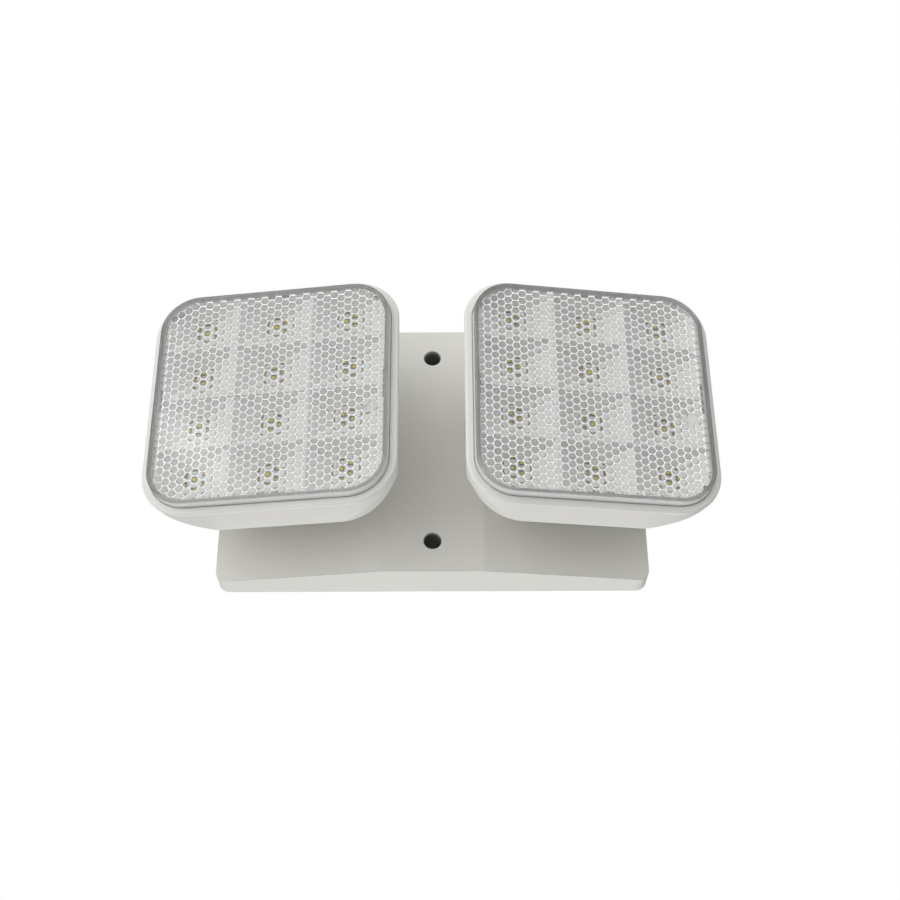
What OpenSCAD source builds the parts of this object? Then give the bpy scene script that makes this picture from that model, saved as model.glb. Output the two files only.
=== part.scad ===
// Double remote lamp head: a wall canopy with two square lamp heads on pan and tilt swivels.
// The wall is the plane y = 0, the front is -Y, up is +Z. The origin is the centre of the back face.

/* [Canopy] */
// Width of the canopy
canopy_w = 169; // [168:1:210]
// Height of the canopy
canopy_h = 109; // [95:1:140]
// Depth of the canopy over its flat middle
canopy_d = 19.6; // [18:0.2:24]
// Depth of the canopy at its two ends
canopy_end_d = 10; // [10:0.2:12]
// Width of the flat middle, between the two wings
flat_w = 40; // [30:1:50]
// Corner radius of the canopy
canopy_r = 4.5; // [3.5:0.5:9]
// Wall thickness of the canopy
canopy_wall = 2.4; // [1.8:0.1:3]

/* [Canopy fixings] */
// Spacing of the two fixing holes, the one of a single-gang box
fixing_spacing = 83.3; // [76:0.1:86]
// Bore of the deep screw well, seen from the front
well_d = 7; // [6.4:0.1:9]
// Clearance hole for the fixing screw
fixing_d = 4; // [3.5:0.1:5]
// Thickness of the ledge that the screw head clamps
fixing_ledge = 3; // [2:0.1:5]
// Wall of the tube round the screw well
well_wall = 2; // [1.5:0.1:3]

/* [Canopy ribs] */
// Thickness of the ribs
rib_t = 1.6; // [1.2:0.1:2.4]
// Height of the ribs below the inner face
rib_h = 3.6; // [2:0.1:4]
// Distance of the long ribs from the middle
rib_z = 31; // [29:0.5:32]

/* [Swivel] */
// Distance of each swivel axis from the end of the canopy, on the face of the wing
swivel_in = 31.3; // [28:0.1:32.4]
// Outer diameter of the hollow stem
stem_d = 18; // [16:0.5:20]
// Bore of the stem, for the leads
stem_bore_d = 12; // [8:0.5:12.5]
// Diameter of the turntable flange
flange_d = 34; // [32:0.5:38]
// Thickness of the turntable flange
flange_t = 3.2; // [2.4:0.1:3.4]
// Depth of the boss round the swivel hole, inside the canopy
boss_t = 1.4; // [0.8:0.1:1.8]
// Width of the boss ring round the swivel hole
boss_w = 7; // [6:0.5:8]
// Thickness of the wave washer, pressed
wave_t = 0.9; // [0.6:0.1:1]
// Thickness of the stop washer
stop_t = 1.2; // [0.8:0.1:1.3]
// Thickness of the swivel nut
swivel_nut_t = 3; // [2.4:0.1:3.2]
// Width across the flats of the swivel nut
swivel_nut_af = 24; // [22.5:0.5:25]
// Diameter of the stop post inside the canopy
stop_post_d = 2.4; // [2:0.1:2.6]
// Width of the tab of the stop washer
stop_tab_w = 2; // [1.6:0.1:2.2]
// Distance of the stop post from the swivel axis
stop_post_x = 14.4; // [14:0.1:15]

/* [Knuckle] */
// Height of the tilt axis over the wing
tilt_h = 10.8; // [10.6:0.1:11.5]
// Thickness of each ear of the fork
ear_t = 4; // [3:0.1:5]
// Radius of the ear round the tilt screw
ear_r = 6; // [5.4:0.1:6.4]
// Width of the lug on the back of the head
lug_w = 9; // [7:0.1:10]
// Radius of the lug round the tilt screw
lug_r = 5.6; // [5:0.1:6]
// Diameter of the tilt screw
tilt_screw_d = 4; // [3:0.1:5]
// Thickness of a friction washer
friction_t = 0.8; // [0.5:0.1:1]

/* [Lamp head] */
// Width and height of the clear lens
lens_w = 90; // [84:1:92]
// Corner radius of the lens
lens_r = 15; // [14:0.5:17]
// Thickness of the front of the lens
lens_t = 2; // [1.6:0.1:2.4]
// Thickness of the skirt of the lens
skirt_t = 1.8; // [1.4:0.1:2.2]
// Radius of the front edge of the lens
lens_edge_r = 1.2; // [0.8:0.1:1.4]
// How far the lens stands out of the housing
lens_proud = 4.4; // [4:0.1:5]
// How far the skirt of the lens reaches into the housing
skirt_in = 3; // [2.4:0.1:3.4]
// Width across the flats of a honeycomb lenslet
lenslet_af = 3.17; // [3:0.01:4]
// Height of a lenslet
lenslet_h = 0.7; // [0.4:0.05:0.8]
// Width of the lip of the housing round the lens
lip_w = 3; // [2.8:0.1:3.4]
// Radius of the front edge of the lip
lip_edge_r = 1; // [0.6:0.1:1.2]
// Depth of the housing behind its lip face
housing_depth = 26; // [25:0.5:28]
// Draft of the side walls of the housing
housing_draft = 10; // [8:0.5:11]
// Draft of the four corners of the housing
corner_draft = 22; // [20:0.5:23]
// Radius of the edge round the back of the housing
back_r = 6.5; // [5.5:0.5:8]
// Wall thickness of the housing
housing_wall = 2.4; // [1.8:0.1:2.5]
// Clear distance from the wing to the back of the head
head_gap = 20.2; // [20:0.1:24]

/* [Light engine] */
// Number of LED columns
led_columns = 3; // [3]
// Number of LED rows
led_rows = 4; // [4]
// Width of an LED package
led_w = 4.5; // [2.8:0.1:5]
// Height of an LED package
led_t = 0.7; // [0.5:0.1:0.9]
// Depth of the reflector cups
cup_depth = 8.4; // [7:0.1:9]
// Width of the floor of a cup
cup_floor_w = 10; // [8:0.5:12]
// Height of the floor of a cup
cup_floor_h = 8; // [7:0.5:10]
// Thickness of the reflector
reflector_t = 1.2; // [0.9:0.1:1.4]
// Gap between the lens and the crests of the reflector
crest_gap = 1.4; // [1.2:0.1:2]
// Thickness of the LED board
board_t = 1.6; // [1:0.1:2]
// Diameter of the board screws
board_screw_d = 2.9; // [2.2:0.1:3.5]

/* [Hidden] */
// Running fit of a shaft in its bore, at the radius
running_fit = 0.06;
// Gap between faces of two bodies that move past each other
seat_gap = 0.3;
// Clearance of a piece that is dropped into its pocket
drop_fit = 0.2;
// Overrun of every cut
over = 0.5;
// Steps of a rounded edge in an outline, and of the one inside a housing
arc_steps = 9;
inner_steps = 2;
$fn = 48;

// Canopy
wing_w = (canopy_w - flat_w) / 2;
swivel_x = canopy_w / 2 - swivel_in;
slope = atan((canopy_d - canopy_end_d) / wing_w);
swivel_y = canopy_d - (swivel_x - flat_w / 2) * tan(slope);
well_tube_d = well_d + 2 * well_wall;
lead_notch = 12;

// Swivel, heights over the face of the wing
canopy_under = canopy_wall + boss_t;
boss_d = stem_d + 2 * boss_w;
wave_top = canopy_under + seat_gap;
stop_top = wave_top + wave_t;
swivel_nut_top = stop_top + stop_t;
stem_end = swivel_nut_top + swivel_nut_t + 0.6 * swivel_nut_t;
flange_top = seat_gap + flange_t;
stem_flat = stem_d / 2 - 0.8 * stop_t;
stop_tab_r = stop_post_x + stop_post_d / 2;
stop_washer_d = 2 * stop_post_x - stop_post_d - 4 * seat_gap;

// Knuckle
ear_in = lug_w / 2 + seat_gap + friction_t;
ear_out = ear_in + ear_t;
ear_foot_w = 2 * ear_r + ear_t;
friction_d = 2 * lug_r - 2 * seat_gap;
tilt_bore_r = tilt_screw_d / 2 + running_fit;
tilt_head_d = 1.8 * tilt_screw_d;
tilt_head_t = 0.6 * tilt_screw_d;
tilt_nut_af = 1.75 * tilt_screw_d;
tilt_nut_t = 0.8 * tilt_screw_d;
drive_d = 0.55 * tilt_head_d;
drive_depth = 0.5 * tilt_head_t;
pad_r = lug_w + lug_r / 2;
pad_t = 1.6;

// Lamp head, heights over the face of the wing
back_z = head_gap;
lip_z = back_z + housing_depth;
front_z = lip_z + lens_proud;
lens_half = lens_w / 2;
lip_half = lens_half + lip_w;
lip_r = lens_r + lip_w;
corner_at = lip_half - lip_r;
draft_z = lip_z - lip_edge_r;
arc_z = back_z + back_r;
arc_x = side_half(arc_z, back_r);
pocket_half = lens_half + drop_fit;
ledge_z = lip_z - skirt_in - drop_fit;
cavity_z = back_z + housing_wall + drop_fit;
skirt_z = lip_z - skirt_in;
skirt_half = lens_half - skirt_t;

// Corners of the housing: a second, rounder square with more draft cuts them back. It starts
// just outside the corners of the lip and stays outside the straight sides
trim_at = 0.7 * corner_at;
trim_out = (sqrt(2) - 1) * (corner_at - trim_at) + lip_r / 18;

// Honeycomb of the lens: lenslets in columns, every other column half a step up, on a thin pad
lenslet_side = lenslet_af / sqrt(3);
lenslet_step = 1.5 * lenslet_side;
lenslet_pad = 0.05;
honeycomb_half = skirt_half - drop_fit;
lenslet_columns = 2 * ceil(honeycomb_half / lenslet_step) + 2;
lenslet_rows = 2 * ceil(honeycomb_half / lenslet_af) + 3;

// Snap tabs of the lens
tab_w = 11;
tab_t = 1.4;
tab_len = 5.2;
catch_t = 0.7;
catch_h = 1.6;
tab_half = side_half(skirt_z - tab_len, housing_wall) - drop_fit;

// Ledge inside the housing that the skirt of the lens rests on
ledge_half = tab_half + drop_fit;
ledge_t = 1.6;

// Light engine, heights over the face of the wing
crest_z = front_z - lens_t - crest_gap;
floor_z = crest_z - cup_depth;
board_z = floor_z - reflector_t;
board_under = board_z - board_t;
tray_half = skirt_half - drop_fit;
tray_r = lens_r - skirt_t - drop_fit;
tray_corner = sqrt(2) * corner_at + tray_r;
cavity_at = (tray_corner + drop_fit + over / 4 - side_half(board_z, housing_wall)) / (sqrt(2) - 1);
seat_z = board_under - drop_fit;
cup_w = 2 * tray_half / led_columns;
cup_h = 2 * tray_half / led_rows;
crest_w = 0.8;
board_half = side_half(board_under, housing_wall) - 2 * drop_fit;
board_r = board_half - cavity_at;
window_w = led_w + 2 * drop_fit + reflector_t;
led_dome_d = 0.8 * led_w;
led_body_t = 0.8 * led_t;
post_d = 2.3 * board_screw_d;
post_x = cup_w / 2;
post_y = cup_h;
screw_head_d = 1.9 * board_screw_d;
screw_head_t = 0.6 * board_screw_d;
screw_len = 3 * board_screw_d;
screw_pilot_d = 0.85 * board_screw_d;
lead_hole_d = 7;
lead_hole_y = pad_r + lead_hole_d / 2 + seat_gap;
connector = [9, 6, 4.6];
connector_way_d = 2;
connector_y = 32;

// Places the children on a wing: local z stands out of its face, local y is up.
// side is -1 for the left wing and 1 for the right one.
module on_wing(side) {
    translate([side * swivel_x, -swivel_y, 0])
        rotate([0, 0, side * slope])
            rotate([90, 0, 0])
                children();
}

// Turns the children to lie along the tilt axis
module along_tilt() {
    translate([0, 0, tilt_h])
        rotate([0, 90, 0])
            children();
}

// Rectangle with true round corners, centred
module round_rect(w, h, r) {
    square([w, h - 2 * r], center = true);
    square([w - 2 * r, h], center = true);
    for (x = [-1, 1], y = [-1, 1])
        translate([x * (w / 2 - r), y * (h / 2 - r)])
            circle(r = r);
}

// Washer or tube standing on z = 0
module ring(outer_d, inner_d, t) {
    difference() {
        cylinder(d = outer_d, h = t);
        translate([0, 0, -over])
            cylinder(d = inner_d, h = t + 2 * over);
    }
}

// Hexagon of a given width across its flats
module hexagon(af) {
    circle(d = af / cos(30), $fn = 6);
}

// Square solid with round corners from a half outline of [half width, height] points, whose corner
// arcs are centred at a given distance from the middle: two crossed prisms and four turned corners
module square_body(half_outline, at) {
    left_outline = [for (k = [len(half_outline) - 1:-1:0]) [-half_outline[k][0], half_outline[k][1]]];
    for (turn = [0, 90])
        rotate([90, 0, turn])
            linear_extrude(height = 2 * at, center = true)
                polygon(concat(half_outline, left_outline));
    low = half_outline[len(half_outline) - 1][1];
    high = half_outline[0][1];
    corner = [for (p = half_outline) [p[0] - at, p[1]]];
    for (turn = [0:90:270])
        rotate([0, 0, turn])
            translate([at, at, 0])
                rotate_extrude(angle = 90)
                    polygon(concat([[0, low], [0, high]], corner));
}

// Half width of the housing at a height, inside a wall, and the one that its corners are cut to
function side_half(z, wall) =
    lip_half - (draft_z - z) * tan(housing_draft) - wall / cos(housing_draft);
function trim_half(z) = lip_half + trim_out - (draft_z - z) * tan(corner_draft);

// Rounded back of a head: from the draft line down to the flat of the back
function back_arc(r, steps) = [
    for (k = [0:steps])
        let (a = housing_draft + (90 - housing_draft) * k / steps)
        [arc_x + r * cos(a), arc_z - r * sin(a)]
];

function housing_outline() = concat(
    [for (k = [0:arc_steps])
        let (a = 90 - 90 * k / arc_steps)
        [lip_half - lip_edge_r + lip_edge_r * cos(a), draft_z + lip_edge_r * sin(a)]],
    back_arc(back_r, arc_steps)
);

// Solid of the housing, with its corners cut back
module housing_body() {
    intersection() {
        square_body(housing_outline(), corner_at);
        square_body([
            [trim_half(lip_z + over), lip_z + over],
            [trim_half(back_z - over), back_z - over]
        ], trim_at);
    }
}

// Space inside the housing: wide round the light engine, from the ledge of the lens down to the
// seat of the board, and rounder at the corners below it
module cavity() {
    low_wall = housing_wall + drop_fit;
    square_body([
        [ledge_half, ledge_z + over], [ledge_half, ledge_z - ledge_t],
        [side_half(ledge_z - ledge_t, housing_wall), ledge_z - ledge_t],
        [side_half(seat_z, housing_wall), seat_z]
    ], cavity_at);
    square_body(concat(
        [[side_half(seat_z + over, low_wall), seat_z + over]],
        back_arc(back_r - low_wall, inner_steps)
    ), trim_at);
}

// Canopy seen from above, and the space inside a wall
module canopy_section() {
    polygon([
        [-canopy_w / 2, 0], [-canopy_w / 2, -canopy_end_d], [-flat_w / 2, -canopy_d],
        [flat_w / 2, -canopy_d], [canopy_w / 2, -canopy_end_d], [canopy_w / 2, 0]
    ]);
}

// Half width of the flat middle, and depth of the ends, inside a wall
function inner_flat(wall) = flat_w / 2 - wall * tan(slope / 2);
function inner_end_d(wall) = canopy_end_d - wall / cos(slope) + wall * tan(slope);

module hollow_section(wall) {
    end_x = canopy_w / 2 - wall;
    polygon([
        [-end_x, over], [-end_x, -inner_end_d(wall)], [-inner_flat(wall), wall - canopy_d],
        [inner_flat(wall), wall - canopy_d], [end_x, -inner_end_d(wall)], [end_x, over]
    ]);
}

// Part of the wall space between two depths, with the rounded outline of the canopy
module canopy_block(w, h, r) {
    translate([0, over, 0])
        rotate([90, 0, 0])
            linear_extrude(height = canopy_d + 2 * over)
                round_rect(w, h, r);
}

module canopy_hollow(wall) {
    intersection() {
        linear_extrude(height = canopy_h, center = true)
            hollow_section(wall);
        canopy_block(canopy_w - 2 * wall, canopy_h - 2 * wall, canopy_r - wall);
    }
}

// Ribs under the front wall, sunk into it by half its thickness, with a gap for the leads
module canopy_ribs() {
    sink = canopy_wall / 2;
    intersection() {
        canopy_hollow(sink);
        difference() {
            union() {
                for (z = [-rib_z, rib_z])
                    translate([0, 0, z])
                        linear_extrude(height = rib_t, center = true)
                            difference() {
                                hollow_section(sink);
                                translate([0, sink + rib_h])
                                    hollow_section(sink);
                            }
                for (x = [-inner_flat(sink), inner_flat(sink)])
                    translate([x - rib_t / 2, -canopy_d, -canopy_h / 2])
                        cube([rib_t, canopy_wall + rib_h, canopy_h]);
            }
            translate([-canopy_w / 2, -canopy_d, -lead_notch / 2])
                cube([canopy_w, canopy_d, lead_notch]);
        }
    }
}

module canopy() {
    color("gainsboro")
        difference() {
            union() {
                difference() {
                    intersection() {
                        linear_extrude(height = canopy_h, center = true)
                            canopy_section();
                        canopy_block(canopy_w, canopy_h, canopy_r);
                    }
                    canopy_hollow(canopy_wall);
                }
                canopy_ribs();
                for (z = [-1, 1])
                    translate([0, 0, z * fixing_spacing / 2])
                        rotate([90, 0, 0])
                            cylinder(d = well_tube_d, h = canopy_d - canopy_wall / 2);
                for (side = [-1, 1])
                    on_wing(side) {
                        translate([0, 0, -canopy_under])
                            cylinder(d = boss_d, h = canopy_under - canopy_wall / 2);
                        translate([0, stop_post_x, seat_gap - swivel_nut_top])
                            cylinder(d = stop_post_d, h = swivel_nut_top - seat_gap - canopy_wall / 2);
                    }
            }
            for (z = [-1, 1])
                translate([0, 0, z * fixing_spacing / 2])
                    rotate([90, 0, 0]) {
                        translate([0, 0, -over])
                            cylinder(d = fixing_d, h = canopy_d + 2 * over);
                        translate([0, 0, fixing_ledge])
                            cylinder(d = well_d, h = canopy_d);
                    }
            for (side = [-1, 1])
                on_wing(side)
                    translate([0, 0, -canopy_under - over])
                        cylinder(r = stem_d / 2 + running_fit, h = canopy_under + 2 * over);
        }
}

// One ear of the fork, seen along the tilt axis, from the flange up to the tilt screw
module ear_shape() {
    foot = tilt_h - flange_top + flange_t / 2;
    circle(r = ear_r);
    polygon([[0, -ear_r], [foot, -ear_foot_w / 2], [foot, ear_foot_w / 2], [0, ear_r]]);
}

module swivel_base(side) {
    edge_r = flange_t / 2;
    color("gainsboro")
        on_wing(side)
            difference() {
                union() {
                    rotate_extrude()
                        polygon(concat(
                            [[0, seat_gap], [flange_d / 2, seat_gap]],
                            [for (k = [0:arc_steps])
                                let (a = 90 * k / arc_steps)
                                [flange_d / 2 - edge_r + edge_r * cos(a),
                                 flange_top - edge_r + edge_r * sin(a)]],
                            [[0, flange_top]]
                        ));
                    translate([0, 0, -stem_end])
                        cylinder(d = stem_d, h = stem_end + flange_t / 2);
                    for (x = [-ear_out, ear_in])
                        along_tilt()
                            translate([0, 0, x])
                                linear_extrude(height = ear_t)
                                    ear_shape();
                }
                translate([0, 0, -stem_end - over])
                    cylinder(d = stem_bore_d, h = stem_end + flange_top + 2 * over);
                along_tilt()
                    translate([0, 0, -ear_out - over])
                        cylinder(r = tilt_bore_r, h = 2 * ear_out + 2 * over);
                for (x = [-1, 1])
                    translate([x * (stem_flat + stem_d / 2), 0, -(stem_end + stop_top) / 2 - over / 2])
                        cube([stem_d, stem_d, stem_end - stop_top + over], center = true);
            }
}

// Wave washer: a flat ring here, pressed between the boss and the stop washer
module wave_washer(side) {
    color("silver")
        on_wing(side)
            translate([0, 0, -wave_top - wave_t])
                ring(stop_washer_d, stem_d + 2 * drop_fit, wave_t);
}

// Stop washer, keyed to the flats of the stem, with the tab that meets the stop post
module stop_washer(side) {
    color("silver")
        on_wing(side)
            translate([0, 0, -swivel_nut_top])
                linear_extrude(height = stop_t)
                    difference() {
                        union() {
                            circle(d = stop_washer_d);
                            translate([-stop_tab_w / 2, -stop_tab_r])
                                square([stop_tab_w, stop_tab_r]);
                        }
                        intersection() {
                            circle(r = stem_d / 2 + running_fit);
                            square([2 * (stem_flat + running_fit), 2 * stem_d], center = true);
                        }
                    }
}

module swivel_nut(side) {
    color("silver")
        on_wing(side)
            translate([0, 0, -swivel_nut_top - swivel_nut_t])
                linear_extrude(height = swivel_nut_t)
                    difference() {
                        hexagon(swivel_nut_af);
                        circle(r = stem_d / 2 + running_fit);
                    }
}

module tilt_screw(side) {
    shank = 2 * ear_out + tilt_nut_t + tilt_screw_d / 4;
    color("silver")
        on_wing(side)
            along_tilt()
                difference() {
                    union() {
                        translate([0, 0, ear_out - shank])
                            cylinder(d = tilt_screw_d, h = shank + tilt_head_t / 2);
                        translate([0, 0, ear_out])
                            cylinder(d = tilt_head_d, h = tilt_head_t);
                    }
                    translate([0, 0, ear_out + tilt_head_t - drive_depth])
                        linear_extrude(height = drive_depth + over) {
                            square([drive_d, drive_d / 4], center = true);
                            square([drive_d / 4, drive_d], center = true);
                        }
                }
}

module tilt_nut(side) {
    color("silver")
        on_wing(side)
            along_tilt()
                translate([0, 0, -ear_out - tilt_nut_t])
                    linear_extrude(height = tilt_nut_t)
                        difference() {
                            hexagon(tilt_nut_af);
                            circle(r = tilt_bore_r);
                        }
}

module friction_washers(side) {
    color("dimgray")
        on_wing(side)
            along_tilt()
                for (z = [-ear_in, ear_in - friction_t])
                    translate([0, 0, z])
                        ring(friction_d, 2 * tilt_bore_r, friction_t);
}

// Lug on the back of the head, with its round pad
module head_lug() {
    translate([0, 0, back_z - pad_t])
        cylinder(r = pad_r, h = pad_t + housing_wall / 2);
    along_tilt()
        translate([0, 0, -lug_w / 2])
            linear_extrude(height = lug_w) {
                circle(r = lug_r);
                translate([tilt_h - back_z - housing_wall / 2, -lug_r])
                    square([back_z + housing_wall / 2 - tilt_h, 2 * lug_r]);
            }
}

// Posts inside the head that carry the LED board
module board_posts() {
    for (x = [-post_x, post_x], y = [-post_y, post_y])
        translate([x, y, cavity_z - housing_wall / 2])
            cylinder(d = post_d, h = board_under - cavity_z + housing_wall / 2);
}

module head_housing(side) {
    color("whitesmoke")
        on_wing(side)
            difference() {
                union() {
                    difference() {
                        housing_body();
                        cavity();
                        translate([0, 0, ledge_z])
                            linear_extrude(height = skirt_in + lens_proud)
                                round_rect(2 * pocket_half, 2 * pocket_half, lens_r + drop_fit);
                    }
                    head_lug();
                    board_posts();
                }
                along_tilt()
                    translate([0, 0, -lug_w / 2 - over])
                        cylinder(r = tilt_bore_r, h = lug_w + 2 * over);
                translate([0, -lead_hole_y, back_z - pad_t - over])
                    cylinder(d = lead_hole_d, h = housing_wall + pad_t + 2 * over);
                for (x = [-post_x, post_x], y = [-post_y, post_y])
                    translate([x, y, board_under - screw_len])
                        cylinder(d = screw_pilot_d, h = screw_len + over);
                for (turn = [0:90:270])
                    rotate([0, 0, turn])
                        translate([tab_half - drop_fit, -tab_w / 2 - drop_fit,
                                   skirt_z - tab_len - drop_fit])
                            cube([catch_t + 2 * drop_fit, tab_w + 2 * drop_fit, catch_h + 2 * drop_fit]);
            }
}

// Place of a lenslet, and of its neighbour to the right or left, above or below
function raised(i) = (i + 1) % 2;
function lenslet_at(i, j) = [
    (i - (lenslet_columns - 1) / 2) * lenslet_step,
    (j - (lenslet_rows - 1) / 2 + raised(i) / 2 - 1 / 4) * lenslet_af
];
function next_above(i, j, way) = [i + way, j + raised(i)];
function next_below(i, j, way) = [i + way, j + raised(i) - 1];

// Every lenslet owns five points: its peak, the corners at its right and left, and the same two
// inside the front of the lens
function own_point(cell, k) = 5 * ((cell[0] + 1) * (lenslet_rows + 2) + cell[1] + 1) + k;
function lenslet_corners(i, j, k) = [
    own_point([i, j], k), own_point(next_above(i, j, 1), k + 1), own_point(next_above(i, j, -1), k),
    own_point([i, j], k + 1), own_point(next_below(i, j, -1), k), own_point(next_below(i, j, 1), k + 1)
];
function lenslet_neighbours(i, j) = [
    next_above(i, j, 1), [i, j + 1], next_above(i, j, -1),
    next_below(i, j, -1), [i, j - 1], next_below(i, j, 1)
];

// A lenslet is made where the whole of it fits inside the skirt, corners included
function in_square(x, y) =
    max(x, y) < honeycomb_half
    && (min(x, y) < corner_at || norm([x - corner_at, y - corner_at]) < honeycomb_half - corner_at);
function is_lenslet(cell) =
    let (p = lenslet_at(cell[0], cell[1]), x = abs(p[0]), y = abs(p[1]))
    in_square(x + lenslet_side, y) && in_square(x + lenslet_side / 2, y + lenslet_af / 2);

// Field of six-sided lenslets that point down from z = 0, with their backs inside the front
module honeycomb() {
    points = [
        for (i = [-1:lenslet_columns], j = [-1:lenslet_rows])
            let (p = lenslet_at(i, j), right = p[0] + lenslet_side, left = p[0] - lenslet_side)
            each [
                [p[0], p[1], -lenslet_pad - lenslet_h],
                [right, p[1], -lenslet_pad], [left, p[1], -lenslet_pad],
                [right, p[1], lens_t / 2], [left, p[1], lens_t / 2]
            ]
    ];
    cells = [
        for (i = [0:lenslet_columns - 1], j = [0:lenslet_rows - 1])
            if (is_lenslet([i, j])) [i, j]
    ];
    faces = [
        for (c = cells)
            let (low = lenslet_corners(c[0], c[1], 1), high = lenslet_corners(c[0], c[1], 3))
            let (beside = lenslet_neighbours(c[0], c[1]))
            each concat(
                [[for (k = [5:-1:0]) high[k]]],
                [for (k = [0:5]) [own_point(c, 0), low[k], low[(k + 1) % 6]]],
                [for (k = [0:5]) if (!is_lenslet(beside[k]))
                    [low[(k + 1) % 6], low[k], high[k], high[(k + 1) % 6]]]
            )
    ];
    polyhedron(points = points, faces = faces);
}

// Clear lens: a flat front with a soft edge, a skirt, and a snap tab at the middle of each side
module lens(side) {
    edge = [for (k = [0:arc_steps])
        let (a = 90 - 90 * k / arc_steps)
        [lens_half - lens_edge_r + lens_edge_r * cos(a), front_z - lens_edge_r + lens_edge_r * sin(a)]];
    inner_z = front_z - lens_t;
    color("lightcyan", 0.5)
        on_wing(side) {
            difference() {
                square_body(concat(edge, [[lens_half, skirt_z]]), corner_at);
                translate([0, 0, skirt_z - over])
                    linear_extrude(height = inner_z - skirt_z + over)
                        round_rect(2 * skirt_half, 2 * skirt_half, lens_r - skirt_t);
            }
            translate([0, 0, inner_z])
                honeycomb();
            for (turn = [0:90:270])
                rotate([0, 0, turn])
                    rotate([90, 0, 0])
                        linear_extrude(height = tab_w, center = true)
                            polygon([
                                [tab_half, skirt_z + tab_t],
                                [tab_half, skirt_z - tab_len + catch_h],
                                [tab_half + catch_t, skirt_z - tab_len + catch_h],
                                [tab_half, skirt_z - tab_len],
                                [tab_half - tab_t, skirt_z - tab_len],
                                [tab_half - tab_t, skirt_z + tab_t]
                            ]);
        }
}

// Ridge between two rows of cups: a long prism that narrows from the floor to its crest, with a
// foot that is sunk into the floor
module ridge(foot_w, top_w, low, high) {
    foot = low - reflector_t / 2;
    rotate([90, 0, 0])
        linear_extrude(height = 2 * tray_half, center = true)
            polygon([
                [-foot_w / 2, foot], [foot_w / 2, foot], [foot_w / 2, low],
                [top_w / 2, high], [-top_w / 2, high], [-foot_w / 2, low]
            ]);
}

// All the ridges of the tray, along both directions
module ridges(shrink, top_w, low, high) {
    for (k = [0:led_columns])
        translate([(k - led_columns / 2) * cup_w, 0, 0])
            ridge(cup_w - cup_floor_w - shrink, top_w, low, high);
    for (k = [0:led_rows])
        translate([0, (k - led_rows / 2) * cup_h, 0])
            rotate([0, 0, 90])
                ridge(cup_h - cup_floor_h - shrink, top_w, low, high);
}

// Bright tray with a flared square cup round each LED, hollow behind its ridges
module reflector(side) {
    color("white")
        on_wing(side)
            difference() {
                intersection() {
                    translate([0, 0, board_z])
                        linear_extrude(height = crest_z - board_z)
                            round_rect(2 * tray_half, 2 * tray_half, tray_r);
                    union() {
                        translate([-lens_half, -lens_half, board_z])
                            cube([lens_w, lens_w, reflector_t]);
                        ridges(0, crest_w, floor_z, crest_z);
                    }
                }
                intersection() {
                    translate([0, 0, board_z - over])
                        linear_extrude(height = crest_z - board_z)
                            round_rect(2 * (tray_half - reflector_t), 2 * (tray_half - reflector_t),
                                       tray_r - reflector_t);
                    ridges(2 * reflector_t, crest_w / 4, board_z - over, crest_z - 2 * reflector_t);
                }
                for (i = [0:led_columns - 1], j = [0:led_rows - 1])
                    translate([led_x(i), led_y(j), floor_z])
                        cube([window_w, window_w, 4 * reflector_t], center = true);
                for (turn = [0:90:270])
                    rotate([0, 0, turn])
                        translate([tab_half - tab_t - drop_fit, -tab_w / 2 - drop_fit, board_z - over])
                            cube([lens_half, tab_w + 2 * drop_fit, crest_z - board_z + 2 * over]);
            }
}

function led_x(i) = (i + 0.5 - led_columns / 2) * cup_w;
function led_y(j) = (j + 0.5 - led_rows / 2) * cup_h;

module led_board(side) {
    color("seagreen")
        on_wing(side)
            translate([0, 0, board_under])
                linear_extrude(height = board_t)
                    difference() {
                        round_rect(2 * board_half, 2 * board_half, board_r);
                        for (x = [-post_x, post_x], y = [-post_y, post_y])
                            translate([x, y])
                                circle(d = board_screw_d + 2 * drop_fit);
                    }
}

// LED packages: a square body with its round yellow face
module leds(side) {
    color("gold")
        on_wing(side)
            for (i = [0:led_columns - 1], j = [0:led_rows - 1])
                translate([led_x(i), led_y(j), board_z]) {
                    translate([-led_w / 2, -led_w / 2, 0])
                        cube([led_w, led_w, led_body_t]);
                    cylinder(d = led_dome_d, h = led_t);
                }
}

module board_screws(side) {
    color("silver")
        on_wing(side)
            for (x = [-post_x, post_x], y = [-post_y, post_y])
                translate([x, y, board_z])
                    difference() {
                        union() {
                            cylinder(d = screw_head_d, h = screw_head_t);
                            translate([0, 0, -board_t - 0.8 * screw_len])
                                cylinder(d = screw_pilot_d,
                                         h = 0.8 * screw_len + board_t + screw_head_t / 2);
                        }
                        translate([0, 0, screw_head_t / 2])
                            linear_extrude(height = screw_head_t) {
                                square([screw_head_d / 2, screw_head_d / 8], center = true);
                                square([screw_head_d / 8, screw_head_d / 2], center = true);
                            }
                    }
}

// Two-way push-in connector on the back of the LED board, where the leads end
module lead_connector(side) {
    color("ivory")
        on_wing(side)
            translate([0, -connector_y, board_under])
                difference() {
                    translate([-connector[0] / 2, -connector[1] / 2, -connector[2]])
                        cube(connector);
                    for (x = [-connector[0] / 4, connector[0] / 4])
                        translate([x, connector[1] / 2 + over, -connector[2] / 2])
                            rotate([90, 0, 0])
                                cylinder(d = connector_way_d, h = connector[1] / 2 + over);
                }
}

canopy();

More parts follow.
